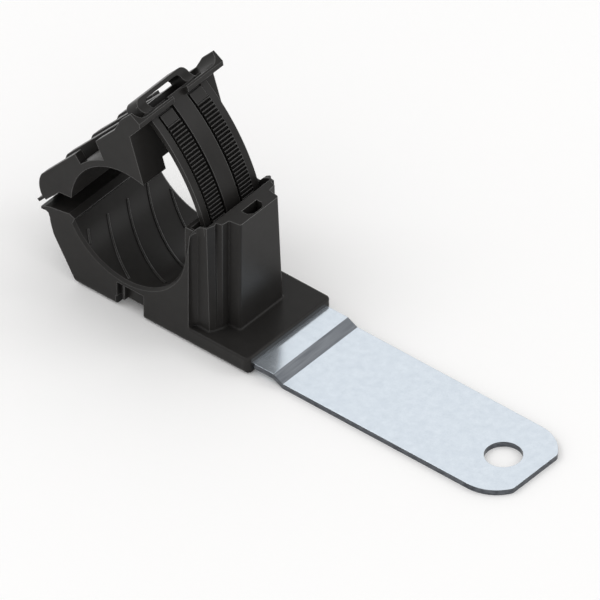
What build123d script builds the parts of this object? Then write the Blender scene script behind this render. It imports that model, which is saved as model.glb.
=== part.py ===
from build123d import *
import os
from math import asin, cos, degrees, pi, radians, sin, tan

# Ratchet P-clamp for a cable bundle, in millimetres.
# X runs along the fixing plate, Y along the cable and Z up. The origin is the centre of
# the bolt hole, on the underside of the plate, which lies on the mounting surface.

# Film hinge between body and arm
pivot_x = -91.72
pivot_z = 13.08
bead_radius = 0.35
hinge_clearance = 0.05
film_setback = 3.35

# Saddle, whose centre and end follow from its radius and the hinge
saddle_radius = 12.7
hinge_to_saddle = 5.77
saddle_floor = 6.25
saddle_from_angle = 207.5
cheek_lean = 9.8
saddle_x = pivot_x + hinge_to_saddle + saddle_radius
saddle_z = saddle_floor + saddle_radius
body_width = 21.7
rim_chamfer = 0.5
film_width = body_width - 2 * film_setback

# Widths of the tower's flanges and of the strap between them
flange_inset = 1.4
flange_half_width = body_width / 2 - flange_inset
strap_inset = 2.45
strap_half_width = flange_half_width - strap_inset

# Toothed strap, curved about the hinge
strap_gap = 2.06
strap_web = 0.72
rail_height = 0.3
tooth_height = 0.65
tooth_depth = 0.5
centre_rib_half_width = 1.75
row_gap = 0.55
row_to_rail = 0.25
rail_width = 1.45
tooth_pitch_angle = 1.17
first_tooth_angle = 48.0
pad_top_angle = 51.5
strap_tip_angle = 13.5
strap_root_angle = 54.6
strap_inner_radius = hinge_to_saddle + 2 * saddle_radius + strap_gap
strap_floor_radius = strap_inner_radius + strap_web
rail_radius = strap_floor_radius + rail_height
tooth_tip_radius = strap_floor_radius + tooth_height
tooth_root_radius = tooth_tip_radius - tooth_depth
row_from_y = centre_rib_half_width + row_gap
rail_from_y = strap_half_width - rail_width
row_to_y = rail_from_y - row_to_rail

# Slot for the strap in the ratchet tower
slot_clearance = 0.35
slot_tooth_clearance = 0.12
slot_wall = 0.5
slot_to_x = pivot_x + tooth_tip_radius + slot_tooth_clearance

# Ratchet tower
tower_top_z = 25.4
tower_depth = 4.4
tower_draft_x = 0.45
tower_inset = 3.75
tower_draft_y = 0.8
tower_edge_radius = 0.45
far_flange_draft = 1.5
foot_fillet = 0.4
flange_hollow = 0.85
flange_hollow_sink = 0.08
cheek_thickness = 1.61
cheek_drop = 1.9
cheek_bevel_width = 1.4
cheek_bevel_depth = 0.85
cheek_x = pivot_x + strap_inner_radius - slot_clearance + 0.7 - cheek_thickness
cheek_top_z = tower_top_z - cheek_drop
tower_half_width = flange_half_width - tower_inset
tower_face_x = slot_to_x + tower_depth

# Tapered groove beside each flange's edge, at the tower's top
flange_groove_width = 0.8
flange_groove_depth = 0.22
flange_groove_length = 7.0

# Pawl, a finger of the tower's moulding behind the slot, and the release hole over it
pawl_thickness = 1.65
pawl_half_width = 3.9
pawl_root_z = 8.0
pawl_slit = 0.35
pawl_roof = 2.6
pawl_roof_gap = 1.2
pawl_tooth_count = 4
pawl_clearance = 0.1
release_width = 1.95
release_half_width = 1.95
release_corner = 0.8
pawl_tip_z = tower_top_z - pawl_roof - pawl_roof_gap
release_from_x = slot_to_x + pawl_thickness
release_to_x = release_from_x + release_width

# Foot
foot_height = 3.35
foot_length = 6.1
foot_edge_radius = 0.45
foot_corner_radius = 1.0
foot_end_x = tower_face_x + foot_length

# Steel fixing plate
plate_thickness = 1.05
plate_side_cover = 1.2
plate_width = body_width - 2 * plate_side_cover
hole_radius = 3.3
plate_end_x = 6.9
plate_step_gap = 5.6
plate_step_run = 2.1
plate_step_rise = 1.05
plate_buried = 19.5
corner_radius = 7.6
corner_turn = 55.0
corner_run = 0.4411
corner_tip_radius = 1.2
plate_step_x = foot_end_x + plate_step_gap
plate_tail_x = foot_end_x - plate_buried

# Gripping ridges, running helically round the saddle
ridge_height = 0.2
ridge_width = 0.36
ridge_pitch = 5.14
ridge_slope = 0.55
ridge_count = 6
ridge_first_y = -12.57
ridge_end_gap = 0.75
ridge_from = 219.0
ridge_to = 306.0

# Recesses in the body's front and underside
notch_height = 2.0
notch_width = 6.1
notch_shift = 1.0
recess_height = 3.1
recess_depth = 1.0
recess_rib_width = 0.35
recess_rib_gap = 1.6
notch_to_x = saddle_x + notch_width / 2 + notch_shift
notch_from_x = notch_to_x - notch_width
recess_top_z = notch_height + recess_height
recess_rib_x = notch_from_x + recess_rib_gap

# Arm, in its own frame: a along the arm from the hinge, b square to it
open_angle = 48.8
jaw_radius = 12.0
jaw_offset = 3.85
jaw_crown = 0.9
jaw_drop = jaw_radius - jaw_crown
jaw_from_angle = 129.4
jaw_tip_angle = 23.3
skin = 1.27
arm_top_b = 4.17
rib_width = 1.67
inner_rib_y = 3.33
end_wall_gap = 1.53
end_wall_top_b = 1.85
ear_reach = 0.9
ear_length = 3.3
ear_rise_length = 2.9
ear_top_b = 5.05
ear_thickness = 0.5
ear_fillet = 1.9
lip_reach = 0.4
lip_b = 2.77
flange_top_b = 3.15
window_gap = 6.0
window_width = 7.3
tip_notch_half_width = 5.0
tip_notch_depth = 2.0
jaw_a = jaw_offset + jaw_radius
jaw_b = -jaw_drop
jaw_from_a = jaw_a + jaw_radius * cos(radians(jaw_from_angle))
jaw_from_b = jaw_b + jaw_radius * sin(radians(jaw_from_angle))
jaw_tip_a = jaw_a + jaw_radius * cos(radians(jaw_tip_angle))
jaw_tip_b = jaw_b + jaw_radius * sin(radians(jaw_tip_angle))
end_wall_top_a = strap_inner_radius - end_wall_gap
ear_end_a = tooth_tip_radius + ear_reach
ear_from_a = ear_end_a - ear_length
ear_rise_a = ear_from_a - ear_rise_length
lip_a = ear_end_a + lip_reach

# Finger frame on the arm's end
frame_setback = 3.2
frame_depth = 3.4
frame_top_b = 6.1
frame_bar = 0.75
frame_inset = 4.45
frame_half_width = body_width / 2 - frame_inset
frame_post = 2.0
frame_corner_radius = 1.4
frame_window_radius = 0.8
frame_fillet = 1.9
frame_front_a = ear_end_a - frame_setback


def polar(radius, angle):
    """Point at an angle in degrees, on a circle about the hinge."""
    return radius * cos(radians(angle)), radius * sin(radians(angle))


def side_slab(sketch, y_low, y_high):
    """Extrude a sketch drawn in X and Z from y_low to y_high."""
    placed = Plane.XZ.offset(-y_high) * sketch
    return extrude(placed, amount=y_high - y_low)


def side_polygon(points):
    return make_face(Polyline(*points, close=True))


def both_sides(solid):
    """The solid and its mirror image across the middle plane."""
    return solid + mirror(solid, about=Plane.XZ)


def box_between(x_low, x_high, y_low, y_high, z_low, z_high):
    size = (x_high - x_low, y_high - y_low, z_high - z_low)
    centre = ((x_high + x_low) / 2, (y_high + y_low) / 2, (z_high + z_low) / 2)
    return Pos(*centre) * Box(*size)


# Steel fixing plate

def plate_end_outline():
    """Plan of the flat lower part: straight sides, then large corner arcs and a short end edge."""
    half = plate_width / 2
    turn = radians(corner_turn)
    arc_end_y = half - corner_radius * (1 - cos(turn))
    arc_mid_y = half - corner_radius * (1 - cos(turn / 2))
    arc_end_x = plate_end_x - corner_run
    arc_start_x = arc_end_x - corner_radius * sin(turn)
    arc_mid_x = arc_start_x + corner_radius * sin(turn / 2)
    edge_y = arc_end_y - corner_run * tan(turn)
    upper = [
        Line((plate_tail_x, half), (arc_start_x, half)),
        ThreePointArc((arc_start_x, half), (arc_mid_x, arc_mid_y), (arc_end_x, arc_end_y)),
        Line((arc_end_x, arc_end_y), (plate_end_x, edge_y)),
    ]
    lower = [mirror(edge, about=Plane.XZ) for edge in upper]
    ends = [
        Line((plate_end_x, edge_y), (plate_end_x, -edge_y)),
        Line((plate_tail_x, half), (plate_tail_x, -half)),
    ]
    return make_face(Curve() + upper + lower + ends)


def make_plate():
    step_half = plate_step_run / 2
    low = 0
    high = plate_step_rise
    section = side_polygon([
        (plate_end_x, low),
        (plate_step_x + step_half, low),
        (plate_step_x - step_half, high),
        (plate_tail_x, high),
        (plate_tail_x, high + plate_thickness),
        (plate_step_x - step_half, high + plate_thickness),
        (plate_step_x + step_half, low + plate_thickness),
        (plate_end_x, low + plate_thickness),
    ])
    strip = side_slab(section, -plate_width / 2, plate_width / 2)
    outline = extrude(plate_end_outline(), amount=high + plate_thickness)
    plate = strip & outline
    tips = plate.edges().filter_by(Axis.Z).group_by(Axis.X)[-1]
    plate = fillet(tips, corner_tip_radius)
    hole = Cylinder(hole_radius, 4 * plate_thickness)
    return plate - hole


# Moulded body

def saddle_point(angle, radius=saddle_radius):
    return saddle_x + radius * cos(radians(angle)), saddle_z + radius * sin(radians(angle))


def cheek_top_corner():
    """Top of the cheek's inner wall, which leaves the saddle in a straight leaning line."""
    start = saddle_point(-cheek_lean)
    rise = cheek_top_z - start[1]
    return start[0] + rise * tan(radians(cheek_lean)), cheek_top_z


def cheek_back_x():
    return max(cheek_x, cheek_top_corner()[0] + 0.1)


def body_section():
    """Front elevation of the saddle, its hinge lip and the foot."""
    start = saddle_point(saddle_from_angle)
    middle = saddle_point(270)
    end = saddle_point(-cheek_lean)
    cheek_top = cheek_top_corner()
    back_x = cheek_back_x()
    lip_reach = bead_radius + hinge_clearance
    lip_top = (pivot_x + lip_reach * sin(radians(33)), pivot_z - lip_reach * cos(radians(33)))
    outline = [
        Polyline(
            start,
            (start[0] + 0.37, start[1] + 0.75),
            (start[0] - 0.93, start[1] + 1.3),
            (start[0] - 1.73, start[1] + 1.05),
            (pivot_x + 2.3, pivot_z + 0.5),
            (pivot_x + 1.1, pivot_z + 0.1),
            lip_top,
            (lip_top[0], lip_top[1] - 0.5),
            (pivot_x + 1.3, pivot_z - 0.72),
            (pivot_x + 1.8, pivot_z - 0.95),
            (pivot_x + 2.1, pivot_z - 1.7),
            (pivot_x + 2.32, pivot_z - 2.98),
            (pivot_x + 2.97, pivot_z - 4.98),
            (pivot_x + 8.0, 0),
            (foot_end_x, 0),
            (foot_end_x, foot_height),
            (back_x, foot_height),
            (back_x, cheek_top_z),
            cheek_top,
            end,
        ),
        ThreePointArc(end, middle, start),
    ]
    return make_face(Curve() + outline)


def make_saddle():
    half = body_width / 2
    body = side_slab(body_section(), -half, half)
    end_edges = body.edges().filter_by(Axis.Y).group_by(Axis.X)[-1]
    body = fillet(end_edges.group_by(Axis.Z)[0], foot_edge_radius)
    foot_corners = body.edges().filter_by(Axis.Z).group_by(Axis.X)[-1]
    body = fillet(foot_corners, foot_corner_radius)
    top_edges = body.faces().filter_by(Axis.Z).filter_by(
        lambda face: abs(face.center().Z - foot_height) < 0.01
    )[0].edges().filter_by(lambda edge: edge.center().X > cheek_x + 0.2)
    body = fillet(top_edges, foot_edge_radius)
    rims = body.edges().filter_by(GeomType.CIRCLE).filter_by(
        lambda edge: abs(edge.radius - saddle_radius) < 0.01
    )
    return chamfer(rims, rim_chamfer)


def tower_half_plan(level, draft):
    """Half plan of the tower at its foot (level 0) or at its top (level 1)."""
    face_x = tower_face_x - tower_draft_x * level
    half = tower_half_width - tower_draft_y * level
    flange = flange_half_width - draft * level
    flange_x = face_x - 3.6 - 0.2 * level - draft * level * 0.5
    ridge_y = flange_half_width - 2.35 - 0.3 * level
    return side_polygon([
        (cheek_x - 1.6, -0.2),
        (cheek_x - 1.6, flange),
        (flange_x, flange - 0.2 + 0.05 * level),
        (face_x - 3.0 - 0.3 * level, ridge_y + 1.3 - 0.45 * level),
        (face_x - 2.9 - 0.65 * level, ridge_y + 0.8 - 0.45 * level),
        (face_x - 2.5 + 0.05 * level, ridge_y),
        (face_x - 2.4 + 0.15 * level, half + 0.35 * level),
        (face_x, half),
        (face_x, -0.2),
    ])


def hollow_plan(flange):
    """Plan of the hollow corner between a flange's side and the cheek's back."""
    reach = flange_hollow
    back_x = cheek_back_x()
    start = (back_x, flange + reach)
    middle = (back_x + 0.3 * reach, flange + 0.3 * reach)
    end = (back_x + reach, flange - flange_hollow_sink)
    buried_y = flange - 0.4
    buried_x = back_x - 0.1
    rest = Polyline(end, (end[0], buried_y), (buried_x, buried_y), (buried_x, start[1]), start)
    return make_face(Curve() + [ThreePointArc(start, middle, end), rest])


def hollow_corner(draft):
    """Fills the corner beside a flange with a hollow curve, from the foot to the top."""
    bottom = Pos(0, 0, foot_height - 0.1) * hollow_plan(flange_half_width)
    top = Pos(0, 0, tower_top_z) * hollow_plan(flange_half_width - draft)
    return loft([bottom, top], ruled=True)


def tower_half(draft):
    """One side of the tower: a fluted flange and half of the plain block in the middle."""
    low = foot_height - 0.3
    bottom = Pos(0, 0, low) * tower_half_plan(0, draft)
    top = Pos(0, 0, tower_top_z) * tower_half_plan(1, draft)
    half = loft([bottom, top], ruled=True)
    upright = half.edges().filter_by(lambda edge: edge.length > 10)
    corner = upright.group_by(Axis.X)[-1].group_by(Axis.Y)[-1]
    return fillet(corner, tower_edge_radius)


def make_tower():
    """Drafted tower, whose far flange leans in towards its top."""
    near = mirror(tower_half(0) - flange_groove(), about=Plane.XZ)
    return near + tower_half(far_flange_draft)


def flange_groove():
    """Groove beside the flange's edge, widest at the top and running out downwards."""
    edge_x = tower_face_x - tower_draft_x - 3.8
    outer = flange_half_width + 0.1
    inner = flange_half_width - flange_groove_depth
    top = Pos(0, 0, tower_top_z + 0.01) * side_polygon([
        (edge_x - 0.2 - flange_groove_width, outer),
        (edge_x - 0.2 - flange_groove_width / 2, inner),
        (edge_x - 0.2, outer),
    ])
    run_out = Pos(0, 0, tower_top_z - flange_groove_length) * side_polygon([
        (edge_x + 0.2, outer),
        (edge_x + 0.25, outer - 0.05),
        (edge_x + 0.3, outer),
    ])
    return loft([run_out, top], ruled=True)


def slot_cutter():
    """The strap's way down the tower: its inner wall is curved about the hinge."""
    inner = strap_inner_radius - slot_clearance
    near = flange_half_width - slot_wall
    far = near - far_flange_draft
    floor_z = foot_height
    block = box_between(saddle_x, slot_to_x, -near, far, floor_z, tower_top_z + 5)
    core = Pos(pivot_x, 0, pivot_z) * Rot(90, 0, 0) * Cylinder(inner, body_width * 2)
    return block - core


def release_cutter():
    """Hole in the tower's top for a screwdriver, and the room behind the pawl."""
    half = release_half_width
    hole = extrude(side_polygon([
        (release_from_x, -half),
        (release_to_x - release_corner, -half),
        (release_to_x, -half + release_corner),
        (release_to_x, half - release_corner),
        (release_to_x - release_corner, half),
        (release_from_x, half),
    ]), amount=tower_top_z + 2)
    hole = hole & box_between(release_from_x - 1, 0, -half, half, pawl_root_z, tower_top_z + 2)
    roof = pawl_tip_z + pawl_roof_gap
    side = pawl_half_width
    reach = side + pawl_slit
    front_x = slot_to_x - 0.5
    room = box_between(release_from_x, release_to_x, -side, side, pawl_root_z, roof)
    gap = box_between(front_x, release_to_x, -reach, reach, pawl_tip_z, roof)
    slit = box_between(front_x, release_to_x, side, reach, pawl_root_z, roof)
    return hole + room + gap + both_sides(slit)


def pawl_teeth():
    """Teeth on the pawl's finger, just clear of the strap's tooth tips."""
    reach = tooth_tip_radius + pawl_clearance
    depth = tooth_tip_radius - tooth_root_radius
    points = []
    base_angle = 9.0
    for index in range(pawl_tooth_count):
        angle = base_angle + index * tooth_pitch_angle
        points.append(polar(reach + depth, angle))
        points.append(polar(reach, angle + tooth_pitch_angle * 0.1))
    last_angle = base_angle + pawl_tooth_count * tooth_pitch_angle
    points.append(polar(reach + depth, last_angle))
    wall = slot_to_x - pivot_x + 0.3
    points.append((wall, polar(reach, last_angle)[1]))
    points.append((wall, polar(reach, base_angle)[1]))
    teeth = side_slab(side_polygon(points), -pawl_half_width, pawl_half_width)
    return Pos(pivot_x, 0, pivot_z) * teeth


def gripping_ridges():
    """Thin ridges on the saddle's wall, each following a helix along the cable."""
    turn = 2 * pi * saddle_radius * ridge_slope
    half_run = body_width / 2 - ridge_end_gap
    ridges = []
    for index in range(ridge_count):
        y_at_250 = ridge_first_y + index * ridge_pitch
        along = [
            angle for angle in range(int(ridge_from), int(ridge_to) + 1)
            if abs(y_at_250 - ridge_slope * saddle_radius * radians(angle - 250)) <= half_run
        ]
        first, last = along[0], along[-1]
        ridges.append(ridge_segment(y_at_250, first, last, turn))
    return ridges


def ridge_segment(y_at_250, first, last, turn):
    """One ridge from the angle first to the angle last, on a helix that rises by turn per round."""
    height = turn * (last - first) / 360
    path = Helix(pitch=turn, height=height, radius=saddle_radius, center=(0, 0, 0), direction=(0, 0, 1))
    start = path @ 0
    plane = Plane(origin=start, x_dir=(1, 0, 0), z_dir=path % 0)
    profile = plane * Rectangle(2 * ridge_height, ridge_width)
    ridge = sweep(profile, path=path, is_frenet=True)
    y_start = y_at_250 - ridge_slope * saddle_radius * radians(first - 250)
    turned = Rot(90, 0, 0) * Rot(0, 0, first) * ridge
    return Pos(saddle_x, y_start, saddle_z) * turned


def recess_cutter():
    """Shallow recess in the front and back face over the notch, with a small rib in it."""
    half = body_width / 2
    pocket = box_between(
        notch_from_x + 0.3, notch_to_x, half - recess_depth, half + 1, notch_height - 0.5, recess_top_z
    )
    rib = box_between(
        recess_rib_x, recess_rib_x + recess_rib_width, half - recess_depth, half + 1,
        notch_height, recess_top_z
    )
    return both_sides(pocket - rib)


def make_body(plate):
    body = make_saddle() + make_tower()
    seam = body.edges().filter_by(Plane.XY).filter_by(
        lambda edge: abs(edge.center().Z - foot_height) < 0.01
        and cheek_x + 0.05 < edge.center().X < tower_face_x + 0.1
        and abs(edge.center().Y) < flange_half_width + 0.1
    )
    body = fillet(seam, foot_fillet)
    body = body + mirror(hollow_corner(0), about=Plane.XZ) + hollow_corner(far_flange_draft)
    body = body - cheek_top_cutter() - both_sides(cheek_bevel()) - slot_cutter() - release_cutter()
    body = body + pawl_teeth()
    notch = box_between(notch_from_x, notch_to_x, -body_width, body_width, -1, notch_height)
    body = body - notch - recess_cutter() - plate
    for ridge in gripping_ridges():
        body = body + ridge
    return body


def cheek_top_cutter():
    """Takes the tower's flanges down to the cheek's top in a smooth curve."""
    start = (slot_to_x + 0.2, tower_top_z + 0.01)
    middle = (slot_to_x - 1.1, tower_top_z - 0.35)
    end = (cheek_back_x(), cheek_top_z)
    curve = ThreePointArc(start, middle, end)
    inner_x = cheek_x - 3
    above_z = tower_top_z + 1
    rest = Polyline(end, (inner_x, cheek_top_z), (inner_x, above_z), (start[0], above_z), start)
    return side_slab(make_face(Curve() + [curve, rest]), -body_width, body_width)


def cheek_bevel():
    """Slopes the cheek's top down to the outside, beside the flange."""
    outer = body_width / 2
    low = cheek_top_z - cheek_bevel_depth
    front = Plane(origin=(saddle_x, 0, 0), x_dir=(0, 1, 0), z_dir=(1, 0, 0))
    wedge = side_polygon([
        (outer - cheek_bevel_width, cheek_top_z),
        (outer + 1, low - cheek_bevel_depth / cheek_bevel_width),
        (outer + 1, cheek_top_z + 1),
        (outer - cheek_bevel_width, cheek_top_z + 1),
    ])
    return extrude(front * wedge, amount=slot_to_x - saddle_x)


# Arm, drawn closed and level, then turned about the hinge

def arm_outline():
    """Full side view of an outer rib, from the hinge tongue to the ear."""
    jaw_top = (jaw_a, jaw_b + jaw_radius)
    return make_face(Curve() + [
        Polyline(
            (jaw_from_a, jaw_from_b),
            (6.3, 0),
            (2.0, 0.08),
            (2.0, 0.42),
            (0.2, 0.42),
            (0.2, 1.0),
            (1.8, 0.9),
        ),
        ThreePointArc((1.8, 0.9), (2.95, 2.85), (5.2, arm_top_b)),
        Polyline(
            (5.2, arm_top_b),
            (ear_rise_a, arm_top_b),
            (ear_from_a, ear_top_b),
            (ear_end_a, ear_top_b),
            (lip_a, lip_b),
            (lip_a - 0.6, end_wall_top_b + 0.2),
            (end_wall_top_a, end_wall_top_b),
            (jaw_tip_a, jaw_tip_b),
        ),
        ThreePointArc((jaw_tip_a, jaw_tip_b), jaw_top, (jaw_from_a, jaw_from_b)),
    ])


def jaw_circle_point(radius, angle):
    return jaw_a + radius * cos(radians(angle)), jaw_b + radius * sin(radians(angle))


def pocket_outline():
    """Side view of the cored-out space between the ribs, over the jaw's skin."""
    outer = jaw_radius + skin
    floor_b = skin
    left_angle = 180 - degrees(asin((floor_b - jaw_b) / outer))
    left = jaw_circle_point(outer, left_angle)
    top = jaw_circle_point(outer, 75)
    right = jaw_circle_point(outer, 40)
    above = ear_top_b + 3
    return make_face(Curve() + [
        Polyline(
            right,
            (right[0] + 0.8, right[1] + 3.0),
            (right[0] + 0.8, above),
            (1, above),
            (3.2, 1.9),
            (5.0, floor_b),
            left,
        ),
        ThreePointArc(left, top, right),
    ])


def rib_window_outline():
    """Side view of the notch that is cut down to the jaw's skin in each outer rib."""
    outer = jaw_radius + skin
    left = jaw_circle_point(outer, 90)
    middle = jaw_circle_point(outer, 76)
    right = jaw_circle_point(outer, 63.5)
    return make_face(Curve() + [
        ThreePointArc(left, middle, right),
        Polyline(
            right,
            (left[0] + window_width, arm_top_b + 0.1),
            (left[0] + window_width, ear_top_b + 1),
            (left[0] + 0.3, ear_top_b + 1),
            (left[0] + 0.3, arm_top_b),
            left,
        ),
    ])


def arm_pockets():
    """Spaces between the four ribs: one in the middle and one at each side."""
    half = body_width / 2
    outline = pocket_outline()
    inner = inner_rib_y - rib_width / 2
    middle = side_slab(outline, -inner, inner)
    side = side_slab(outline, inner + rib_width, half - rib_width)
    return middle + both_sides(side)


def end_scoops():
    """Lowers the arm's end to the flange, up to the ears, which it leaves in a hollow curve."""
    back_a = ear_rise_a + 0.2
    inner_y = body_width / 2 - ear_thickness
    front = Plane(origin=(lip_a + 1, 0, 0), x_dir=(0, 1, 0), z_dir=(1, 0, 0))
    foot_y = inner_y - ear_fillet
    high = frame_top_b + 1
    arc_top_b = flange_top_b + ear_fillet
    profile = make_face(Curve() + [
        Line((-foot_y, flange_top_b), (foot_y, flange_top_b)),
        RadiusArc((foot_y, flange_top_b), (inner_y, arc_top_b), -ear_fillet),
        Polyline((inner_y, arc_top_b), (inner_y, high), (-inner_y, high), (-inner_y, arc_top_b)),
        RadiusArc((-inner_y, arc_top_b), (-foot_y, flange_top_b), -ear_fillet),
    ])
    return extrude(front * profile, amount=-(lip_a + 1 - back_a))


def lip_gap():
    """Opens the flange's lip in the middle, so that the strap's centre rib runs up through it."""
    half = centre_rib_half_width
    rib_face = polar(tooth_tip_radius, degrees(asin(flange_top_b / tooth_tip_radius)))
    return box_between(rib_face[0], lip_a + 1, -half, half, 0, ear_top_b)


def finger_frame():
    """Arch across the arm's end, whose posts run out on the flange in a hollow curve."""
    base_b = flange_top_b - 0.6
    front = Plane(origin=(frame_front_a, 0, 0), x_dir=(0, 1, 0), z_dir=(1, 0, 0))
    tall = frame_top_b - base_b
    arch = Pos(0, base_b + tall / 2) * Rectangle(2 * frame_half_width, tall)
    arch = fillet(arch.vertices().group_by(Axis.Y)[-1], frame_corner_radius)
    opening_half = frame_half_width - frame_post
    opening_top = frame_top_b - frame_bar
    opening_tall = opening_top - flange_top_b
    opening = Pos(0, flange_top_b + opening_tall / 2) * Rectangle(2 * opening_half, opening_tall)
    opening = fillet(opening.vertices().group_by(Axis.Y)[-1], frame_window_radius)
    frame = extrude(front * (arch - opening), amount=-frame_depth)
    foot = side_slab(frame_foot_outline(), opening_half, frame_half_width)
    return frame + both_sides(foot)


def frame_foot_outline():
    """Side view of the hollow curve from the posts' front face down to the flange."""
    reach = frame_fillet
    base = (frame_front_a - 0.5, flange_top_b - 0.1)
    return make_face(Curve() + [
        Polyline(
            (frame_front_a + reach, flange_top_b),
            (frame_front_a + reach, base[1]),
            base,
            (base[0], flange_top_b + reach),
            (frame_front_a, flange_top_b + reach),
        ),
        RadiusArc((frame_front_a, flange_top_b + reach), (frame_front_a + reach, flange_top_b), -reach),
    ])


def sector(inner, outer, from_angle, to_angle, y_low, y_high):
    """Part of a ring about the hinge, in the arm's own frame."""
    start = from_angle - open_angle
    stop = to_angle - open_angle
    middle = (start + stop) / 2
    outline = make_face(Curve() + [
        ThreePointArc(polar(outer, start), polar(outer, middle), polar(outer, stop)),
        Line(polar(outer, stop), polar(inner, stop)),
        ThreePointArc(polar(inner, stop), polar(inner, middle), polar(inner, start)),
        Line(polar(inner, start), polar(outer, start)),
    ])
    return side_slab(outline, y_low, y_high)


def tooth_row(y_low, y_high):
    """Saw teeth down the strap: the steep side faces up and the slope down."""
    count = int((first_tooth_angle - strap_tip_angle - 1.5) / tooth_pitch_angle)
    first = first_tooth_angle - open_angle
    last = first - count * tooth_pitch_angle
    back = strap_inner_radius + 0.2
    points = []
    for index in range(count):
        top = first - index * tooth_pitch_angle
        points.append(polar(tooth_root_radius, top))
        points.append(polar(tooth_tip_radius, top - tooth_pitch_angle * 0.15))
        points.append(polar(tooth_tip_radius, top - tooth_pitch_angle * 0.35))
    points.append(polar(tooth_root_radius, last))
    outline = make_face(Curve() + [
        Polyline(polar(back, first), *points, polar(back, last)),
        ThreePointArc(polar(back, last), polar(back, (first + last) / 2), polar(back, first)),
    ])
    return side_slab(outline, y_low, y_high)


def make_strap():
    half = strap_half_width
    band = sector(strap_inner_radius, strap_floor_radius, strap_tip_angle, strap_root_angle, -half, half)
    rib = sector(
        strap_inner_radius, tooth_tip_radius, strap_tip_angle + 0.8, strap_root_angle,
        -centre_rib_half_width, centre_rib_half_width
    )
    rail = sector(strap_inner_radius, rail_radius, strap_tip_angle, strap_root_angle, rail_from_y, half)
    pad = sector(
        strap_inner_radius, tooth_tip_radius - 0.1, first_tooth_angle, pad_top_angle, row_from_y, row_to_y
    )
    strap = band + rib + both_sides(rail) + both_sides(pad)
    return strap + both_sides(tooth_row(row_from_y, row_to_y))


def tip_notch():
    """Shortens the jaw's tip between the outer cheeks."""
    reach = jaw_radius / 2
    half = tip_notch_half_width
    top = jaw_tip_b + tip_notch_depth
    return box_between(jaw_tip_a - reach, jaw_tip_a + reach, -half, half, jaw_tip_b - 1, top)


def film_bead():
    """Rounded edge on the hinge axis, joined to the tongue by a thin web."""
    half = film_width / 2
    bead = Rot(90, 0, 0) * Cylinder(bead_radius, film_width)
    web = box_between(-0.2, 0.55, -half, half, 0, 0.9)
    return bead + web


def make_arm():
    half = body_width / 2
    arm = side_slab(arm_outline(), -half, half)
    arm = arm - arm_pockets() - end_scoops() - tip_notch()
    notch = side_slab(rib_window_outline(), half - rib_width - 0.1, half + 1)
    arm = arm - both_sides(notch)
    arm = arm - lip_gap() + finger_frame() + make_strap() + film_bead()
    return Pos(pivot_x, 0, pivot_z) * Rot(0, -open_angle, 0) * arm


plate = make_plate()
parts = {
    "mounting_plate": plate,
    "clamp_base": make_body(plate),
    "ratchet_arm": make_arm(),
}

os.makedirs("parts", exist_ok=True)
for name, solid in parts.items():
    print(name, len(solid.solids()), "solids", round(solid.volume, 1), "mm3", solid.is_valid)
    export_step(solid, "parts/" + name + ".step")
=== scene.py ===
from math import cos, radians, sin

import bpy
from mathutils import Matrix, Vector

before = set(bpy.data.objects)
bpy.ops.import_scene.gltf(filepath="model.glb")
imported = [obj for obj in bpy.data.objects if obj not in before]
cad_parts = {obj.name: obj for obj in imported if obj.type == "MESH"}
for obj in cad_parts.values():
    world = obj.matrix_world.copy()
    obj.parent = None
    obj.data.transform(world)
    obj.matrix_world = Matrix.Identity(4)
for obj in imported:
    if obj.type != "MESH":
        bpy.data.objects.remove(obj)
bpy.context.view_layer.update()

scene = bpy.context.scene
scene.view_settings.view_transform = "Standard"


# Colours, linear. A ramp is two stops, each a place from 0 to 1 and its colour.

BLACK_FACE = ((0.3, (0.0165, 0.0156, 0.0148)), (0.7, (0.0235, 0.0223, 0.0213)))
# painted highlight on outer edges
BLACK_EDGE_HIGHLIGHT = (0.11, 0.108, 0.105)
# painted shade in grooves and inner corners
BLACK_GROOVE_SHADE = (0.006, 0.0055, 0.005)

ZINC_FACE = ((0.32, (0.64, 0.705, 0.775)), (0.68, (0.735, 0.80, 0.865)))
# painted shade on the sloping faces at the bend, drawn in streaks
ZINC_SLOPE_SHADE = ((0.33, (0.14, 0.152, 0.17)), (0.67, (0.23, 0.245, 0.265)))
ZINC_SHEARED = ((0.33, (0.07, 0.075, 0.085)), (0.67, (0.15, 0.16, 0.175)))

WHITE = (1.0, 1.0, 1.0)
FLOOR_WHITE = (1.0, 0.995, 0.99)
LIGHTING_GREY = (0.84, 0.84, 0.84)


# Studio sizes, in metres, and lamp powers, in watts

FLOOR_REACH = 1.5
FLOOR_DROP = 0.00002
FLOOR_GLOW = 0.02

VIEW_ROUND = radians(40)
VIEW_HEIGHT = radians(40)
VIEW_CENTRE = Vector((-0.04427, 0, 0.01078))
VIEW_WIDTH = 0.1
VIEW_DISTANCE = 0.5
VIEW_NEAR, VIEW_FAR = 0.01, 10

LAMP_AIM = Vector((-0.05, 0, 0.012))
SOFTBOXES = (
    # name, direction it stands in, distance, width and height, power
    ("key", (0.75, 0.75, 0.75), 0.7, (0.25, 0.25), 0.42),
    ("left", (-0.6, -0.35, 0.85), 0.7, (0.25, 0.25), 0.45),
    ("front fill", (0.5, -1.0, 0.5), 0.8, (0.6, 0.5), 0.3),
)


# Node helpers

# By kind: the inputs for the first and the second value, and the output of the mix node
MIX_SOCKETS = {"FLOAT": (2, 3, 0), "RGBA": (6, 7, 2)}


def feed(node, inputs):
    """Sets a node's inputs, each to a number, a vector, a colour or another node's output."""
    for label, value in inputs.items():
        socket = node.inputs[label]
        if isinstance(value, bpy.types.NodeSocket):
            node.id_data.links.new(value, socket)
        elif socket.type == "RGBA":
            socket.default_value = (*value, 1.0)
        else:
            socket.default_value = value


def add_node(tree, kind, inputs=None, **settings):
    node = tree.nodes.new(kind)
    for name, value in settings.items():
        setattr(node, name, value)
    feed(node, inputs or {})
    return node


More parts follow.
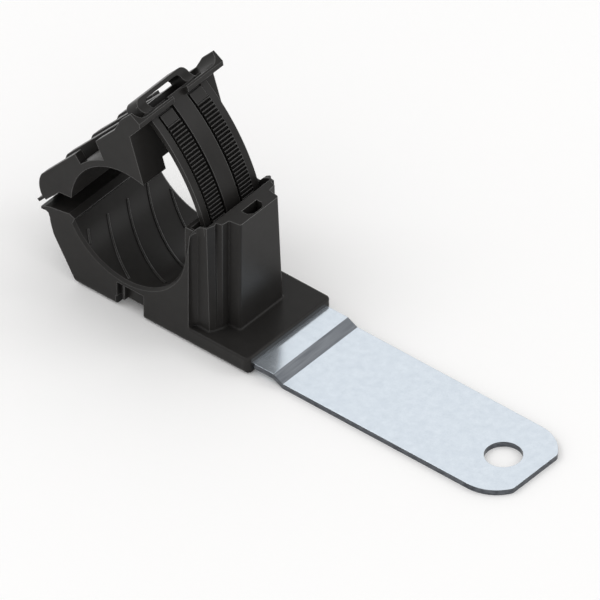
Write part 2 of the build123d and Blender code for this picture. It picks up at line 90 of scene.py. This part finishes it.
def maths(tree, operation, *values, clamped=False):
    inputs = dict(enumerate(values))
    node = add_node(tree, "ShaderNodeMath", inputs, operation=operation, use_clamp=clamped)
    return node.outputs["Value"]


def spread(tree, source, low, high, from_low=0.0, from_high=1.0):
    """The source's range from from_low to from_high, laid over low to high and held there."""
    inputs = {
        "Value": source, "From Min": from_low, "From Max": from_high, "To Min": low, "To Max": high,
    }
    return add_node(tree, "ShaderNodeMapRange", inputs).outputs["Result"]


def mix(tree, kind, factor, first, second):
    """The first value passing into the second, as FLOAT or RGBA, as the factor goes up to 1."""
    first_socket, second_socket, result = MIX_SOCKETS[kind]
    inputs = {0: factor, first_socket: first, second_socket: second}
    return add_node(tree, "ShaderNodeMix", inputs, data_type=kind).outputs[result]


def ramp(tree, source, stops):
    node = add_node(tree, "ShaderNodeValToRGB", {"Fac": source})
    for element, (place, colour) in zip(node.color_ramp.elements, stops):
        element.position = place
        element.color = (*colour, 1.0)
    return node.outputs["Color"]


def object_place(tree):
    return add_node(tree, "ShaderNodeTexCoord").outputs["Object"]


def noise(tree, place, inputs):
    return add_node(tree, "ShaderNodeTexNoise", {"Vector": place, **inputs}).outputs["Fac"]


def new_group(name, inputs, outputs):
    """An empty shader group: its tree, the outputs of its input node, and its output node."""
    group = bpy.data.node_groups.new(name, "ShaderNodeTree")
    for label, value in inputs.items():
        socket = group.interface.new_socket(label, in_out="INPUT", socket_type="NodeSocketFloat")
        socket.default_value = value
    for label, kind in outputs.items():
        group.interface.new_socket(label, in_out="OUTPUT", socket_type=kind)
    given = add_node(group, "NodeGroupInput").outputs
    return group, given, add_node(group, "NodeGroupOutput")


def use_group(tree, group, inputs):
    return add_node(tree, "ShaderNodeGroup", inputs, node_tree=group).outputs


# Effects that both materials use

def edge_group():
    """Masks for a painted highlight on outer edges and for painted shade in sheltered grooves, and
    the normal rounded over the edges.

    An edge is where the rounded normal turns away from the true one. Inner corners turn as
    much, so the highlight mask is cut by how open the place is to its surroundings.
    """
    group, given, result = new_group(
        "edge highlight and shade",
        {"Radius": 0.0003, "Strength": 3.0, "Reach": 0.0008},
        {
            "Mask": "NodeSocketFloat",
            "Groove": "NodeSocketFloat",
            "Rounded Normal": "NodeSocketVector",
        },
    )
    bevel = add_node(group, "ShaderNodeBevel", {"Radius": given["Radius"]}, samples=6)
    rounded = bevel.outputs["Normal"]
    true_normal = add_node(group, "ShaderNodeNewGeometry").outputs["Normal"]
    facing = add_node(
        group, "ShaderNodeVectorMath", {0: rounded, 1: true_normal}, operation="DOT_PRODUCT",
    )
    turned = maths(group, "SUBTRACT", 1.0, facing.outputs["Value"])
    edge = maths(group, "MULTIPLY", turned, given["Strength"], clamped=True)
    shelter = add_node(
        group, "ShaderNodeAmbientOcclusion", {"Distance": given["Reach"]},
        samples=8, only_local=True,
    )
    openness = shelter.outputs["AO"]
    # painted highlight only where the edge is open to its surroundings
    outer = spread(group, openness, low=0.0, high=1.0, from_low=0.6, from_high=0.9)
    # painted shade, growing as the place gets more sheltered
    groove_shade = spread(group, openness, low=1.0, high=0.0, from_low=0.25, from_high=0.9)
    highlight_mask = maths(group, "MULTIPLY", edge, outer)
    feed(result, {"Mask": highlight_mask, "Groove": groove_shade, "Rounded Normal": rounded})
    return group


def mottle_group():
    """Soft blotches of two sizes on Object coordinates, from 0 to 1."""
    times_finer = 6.0
    group, given, result = new_group(
        "mottle",
        {"Scale": 200.0, "Fine Share": 0.4},
        {"Value": "NodeSocketFloat"},
    )
    place = object_place(group)
    fine_scale = maths(group, "MULTIPLY", given["Scale"], times_finer)
    coarse = noise(group, place, {"Scale": given["Scale"], "Detail": 3.0, "Roughness": 0.55})
    fine = noise(group, place, {"Scale": fine_scale, "Detail": 5.0, "Roughness": 0.6})
    feed(result, {"Value": mix(group, "FLOAT", given["Fine Share"], coarse, fine)})
    return group


edge_highlight_and_shade = edge_group()
mottle = mottle_group()


# Materials

def new_material(name):
    material = bpy.data.materials.new(name)
    material.use_nodes = True
    tree = material.node_tree
    return material, tree, tree.nodes["Principled BSDF"]


def relief(tree, height, smooth, strength, depth):
    """The smooth normal with fine relief on it."""
    inputs = {"Height": height, "Normal": smooth, "Strength": strength, "Distance": depth}
    return add_node(tree, "ShaderNodeBump", inputs).outputs["Normal"]


def streaks(tree, scale, stops):
    """Colour drawn out in fine streaks along the axis that the scale makes coarsest."""
    squeezed = add_node(tree, "ShaderNodeMapping", {"Vector": object_place(tree), "Scale": scale})
    fine = noise(tree, squeezed.outputs["Vector"], {"Scale": 1.0, "Detail": 3.0})
    return ramp(tree, fine, stops)


def moulded_black():
    """Black polyamide: satin, finely grained, glossier on edges with a painted highlight there, and
    painted shade in the grooves.
    """
    material, tree, shader = new_material("black polyamide")
    edges = use_group(tree, edge_highlight_and_shade, {"Radius": 0.00022, "Strength": 3.6})
    blotch = use_group(tree, mottle, {"Scale": 90.0, "Fine Share": 0.45})["Value"]
    grain = noise(tree, object_place(tree), {"Scale": 5200.0, "Detail": 2.0})
    # painted shade in sheltered grooves
    face = mix(tree, "RGBA", edges["Groove"], ramp(tree, blotch, BLACK_FACE), BLACK_GROOVE_SHADE)
    feed(shader, {
        # painted highlight on outer edges
        "Base Color": mix(tree, "RGBA", edges["Mask"], face, BLACK_EDGE_HIGHLIGHT),
        "Roughness": spread(tree, blotch, low=0.27, high=0.4),
        "IOR": 1.5,
        "Specular IOR Level": spread(tree, edges["Mask"], low=0.13, high=1.0),
        "Normal": relief(tree, grain, edges["Rounded Normal"], strength=0.22, depth=0.00004),
    })
    return material


def galvanised():
    """Zinc-coated sheet: pale and softly mottled, with painted shade in streaks on the sloping
    faces at the bend, and darker sheared edges.
    """
    material, tree, shader = new_material("galvanised steel")
    smooth = use_group(tree, edge_highlight_and_shade, {"Radius": 0.00012})["Rounded Normal"]
    blotch = use_group(tree, mottle, {"Scale": 700.0, "Fine Share": 0.4})["Value"]
    normal = add_node(tree, "ShaderNodeNewGeometry").outputs["Normal"]
    normal_parts = add_node(tree, "ShaderNodeSeparateXYZ", {"Vector": normal}).outputs
    level = maths(tree, "ABSOLUTE", normal_parts["Z"])
    bend = spread(tree, level, low=1.0, high=0.0, from_low=0.93, from_high=0.98)
    cut = spread(tree, level, low=1.0, high=0.0, from_low=0.1, from_high=0.5)
    # painted shade on the sloping faces, drawn in streaks
    slope_shade = streaks(tree, (5200.0, 160.0, 5200.0), ZINC_SLOPE_SHADE)
    sheared = streaks(tree, (900.0, 900.0, 3800.0), ZINC_SHEARED)
    face = mix(tree, "RGBA", bend, ramp(tree, blotch, ZINC_FACE), slope_shade)
    feed(shader, {
        "Base Color": mix(tree, "RGBA", cut, face, sheared),
        "Metallic": 0.85,
        "Roughness": spread(tree, blotch, low=0.13, high=0.24),
        "Normal": relief(tree, blotch, smooth, strength=0.06, depth=0.00005),
    })
    return material


def seen_directly(tree):
    """1 for rays from the camera, through glass or off a glossy face, and 0 for lighting."""
    path = add_node(tree, "ShaderNodeLightPath").outputs
    clear = maths(tree, "MAXIMUM", path["Is Camera Ray"], path["Is Transmission Ray"])
    return maths(tree, "MAXIMUM", clear, path["Is Glossy Ray"])


def white_floor():
    """Pale matt floor, a touch whiter where it is seen directly, that keeps the shadow."""
    material, tree, shader = new_material("studio floor")
    feed(shader, {
        "Base Color": FLOOR_WHITE,
        "Roughness": 0.95,
        "Specular IOR Level": 0.1,
        "Emission Color": WHITE,
        "Emission Strength": spread(tree, seen_directly(tree), low=0.0, high=FLOOR_GLOW),
    })
    return material


def dress(nodes, material):
    for name in nodes:
        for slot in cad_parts[name].material_slots:
            slot.material = material


# Studio

def make_floor():
    sides = (-FLOOR_REACH, FLOOR_REACH)
    corners = [(x, y, -FLOOR_DROP) for x in sides for y in sides]
    mesh = bpy.data.meshes.new("floor")
    mesh.from_pydata(corners, [], [(0, 2, 3, 1)])
    mesh.materials.append(white_floor())
    floor = bpy.data.objects.new("floor", mesh)
    scene.collection.objects.link(floor)


def make_world():
    """Grey light from all round, which reads as white where it is seen directly."""
    world = bpy.data.worlds.new("studio")
    world.use_nodes = True
    tree = world.node_tree
    feed(tree.nodes["Background"], {
        "Color": mix(tree, "RGBA", seen_directly(tree), LIGHTING_GREY, WHITE),
        "Strength": 1.0,
    })
    scene.world = world


def make_camera():
    """Parallel view, aimed at the part's middle."""
    back = Vector((
        sin(VIEW_ROUND) * cos(VIEW_HEIGHT),
        -cos(VIEW_ROUND) * cos(VIEW_HEIGHT),
        sin(VIEW_HEIGHT),
    ))
    data = bpy.data.cameras.new("camera")
    data.type = "ORTHO"
    data.ortho_scale = VIEW_WIDTH
    data.clip_start = VIEW_NEAR
    data.clip_end = VIEW_FAR
    camera = bpy.data.objects.new("camera", data)
    camera.location = VIEW_CENTRE + back * VIEW_DISTANCE
    camera.rotation_euler = back.to_track_quat("Z", "Y").to_euler()
    scene.collection.objects.link(camera)
    scene.camera = camera


def add_softbox(name, towards, distance, size, power):
    direction = Vector(towards).normalized()
    data = bpy.data.lights.new(name, "AREA")
    data.shape = "RECTANGLE"
    data.size, data.size_y = size
    data.energy = power
    lamp = bpy.data.objects.new(name, data)
    lamp.location = LAMP_AIM + direction * distance
    lamp.rotation_euler = direction.to_track_quat("Z", "Y").to_euler()
    scene.collection.objects.link(lamp)


dress(("clamp_base", "ratchet_arm"), moulded_black())
dress(("mounting_plate",), galvanised())
make_floor()
make_world()
make_camera()
for softbox in SOFTBOXES:
    add_softbox(*softbox)
